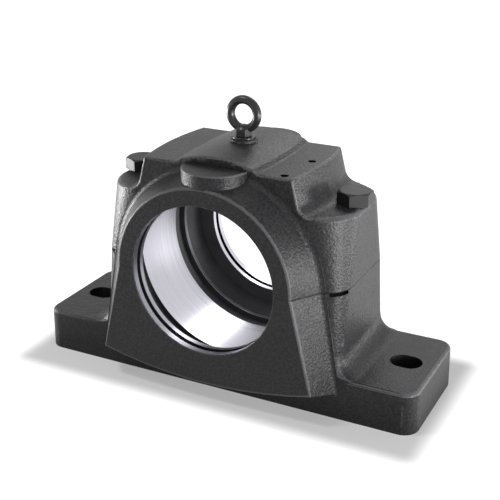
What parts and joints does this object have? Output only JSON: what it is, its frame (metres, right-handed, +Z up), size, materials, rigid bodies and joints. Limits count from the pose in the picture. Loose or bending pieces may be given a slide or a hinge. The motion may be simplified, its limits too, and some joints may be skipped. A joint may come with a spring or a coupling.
{
  "type": "split plummer block",
  "caption": "Split plummer block: cast-iron bearing housing on slotted feet, bolted cap, bored seat between two seal bores, lifting eye bolt.",
  "frame": {"origin": "middle of the underside of the base, under the middle of the shaft bore", "axes": "+Z up, +Y along the shaft bore, +X along the feet, towards the side with the two grease holes"},
  "size_m": [0.62, 0.268, 0.4286],
  "materials": {
    "painted_casting": "dark grey paint over a fine sand-cast skin, the bores machined bright",
    "black_bolt": "black oxide",
    "eye_bolt": "forged, blackened",
    "bright_pin": "ground"
  },
  "bodies": {
    "root": {"housing_base": "painted_casting", "housing_cap": "painted_casting", "cap_bolt_left": "black_bolt", "cap_bolt_right": "black_bolt", "dowel_left": "bright_pin", "dowel_right": "bright_pin", "eye_bolt": "eye_bolt"}
  },
  "joints": []
}
